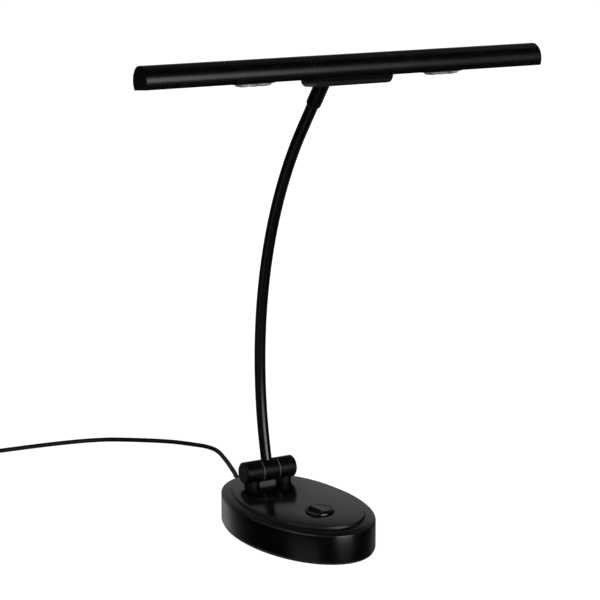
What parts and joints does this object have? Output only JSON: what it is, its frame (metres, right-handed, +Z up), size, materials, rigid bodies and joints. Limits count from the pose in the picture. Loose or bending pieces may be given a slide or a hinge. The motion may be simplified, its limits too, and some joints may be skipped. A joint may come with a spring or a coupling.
{
  "type": "piano lamp",
  "caption": "Slim light bar on a thin curved arm that tilts on a barrel hinge behind a heavy oval base with a round rocker switch; neck swivels and tilts.",
  "frame": {"origin": "on the table, under the middle of the oval base", "axes": "+Z up, +X along the light bar and the hinge axis, -Y towards the switch and the light bar, +Y where the lead leaves"},
  "size_m": [0.3972, 0.5115, 0.3777],
  "materials": {
    "black_paint": "satin black powder coat",
    "cast_weight": "rough cast",
    "plain_steel": "zinc plated",
    "soft_pad": "matte",
    "black_plastic": "fine texture",
    "gloss_black": "semi gloss",
    "contact_metal": "tinned brass",
    "fibre": "fibre washer",
    "pin_plastic": "natural",
    "wire": "insulation",
    "lens": "clear moulded optic",
    "board_white": "white solder resist",
    "board_green": "solder resist",
    "chip": "phosphor",
    "lead_jacket": "soft vinyl, satin",
    "chrome_pin": "nickel plated",
    "alu": "satin black anodised"
  },
  "bodies": {
    "base": {"base_shell": "black_paint", "base_weight": "cast_weight", "base_plate": "plain_steel", "base_pad": "soft_pad", "plate_screws": "plain_steel", "switch_body": "black_plastic", "switch_blades": "contact_metal", "bracket_left": "black_paint", "bracket_right": "black_paint", "bracket_washers": "plain_steel", "bracket_nuts": "plain_steel", "pivot_screws": "plain_steel", "spring_washers": "plain_steel", "friction_washers": "fibre", "cap_left": "black_paint", "cap_right": "black_paint", "supply_core": "wire", "riser_core": "wire", "strain_relief": "lead_jacket", "cord": "lead_jacket", "cord_coil": "lead_jacket", "coil_tie": "lead_jacket", "cord_tail": "lead_jacket", "plug_relief": "lead_jacket", "plug_body": "lead_jacket", "plug_pins": "chrome_pin"},
    "rocker": {"switch_rocker": "gloss_black", "switch_plunger": "pin_plastic"},
    "contact": {"switch_contact": "contact_metal"},
    "arm": {"knuckle": "black_paint", "arm_tube": "black_paint", "arm_lead": "wire", "swivel_stud": "plain_steel", "swivel_washer": "plain_steel", "swivel_nut": "plain_steel"},
    "neck": {"collar": "black_paint", "neck_lead": "wire", "tilt_screws": "plain_steel", "tilt_washers": "fibre"},
    "head": {"head_bracket": "black_paint", "bracket_screws": "plain_steel", "mount_plate": "plain_steel", "housing": "black_paint", "housing_screws": "plain_steel", "driver_board": "board_green", "driver_parts": "black_plastic", "shade": "alu", "end_cap_left": "alu", "end_cap_right": "alu", "cover_left": "black_plastic", "cover_right": "black_plastic", "light_frame_left": "black_plastic", "light_frame_right": "black_plastic", "lens_left": "lens", "lens_right": "lens", "light_board_left": "board_white", "light_board_right": "board_white", "light_chips": "chip", "bar_leads": "wire"}
  },
  "joints": [
    {"name": "arm_hinge", "type": "hinge", "parent": "base", "child": "arm", "pos_m": [0, 0.0465, 0.0384], "axis": [1, 0, 0], "range_deg": [-25, 50]},
    {"name": "neck_swivel", "type": "hinge", "parent": "arm", "child": "neck", "pos_m": [0, -0.02774, 0.34097], "axis": [0, -0.6211, 0.7837], "range_deg": [-45, 45]},
    {"name": "head_tilt", "type": "hinge", "parent": "neck", "child": "head", "pos_m": [0, -0.04451, 0.36213], "axis": [1, 0, 0], "range_deg": [-30, 30]},
    {"name": "rocker_tilt", "type": "hinge", "parent": "base", "child": "rocker", "pos_m": [0, -0.0349, 0.025], "axis": [0, 1, 0], "range_deg": [-20, 0]},
    {"name": "contact_tilt", "type": "hinge", "parent": "base", "child": "contact", "pos_m": [0, -0.0349, 0.0178], "axis": [0, 1, 0], "range_deg": [0, 10]}
  ],
  "couplings": [
    {"joint": "contact_tilt", "follows": "rocker_tilt", "ratio": -0.5}
  ]
}
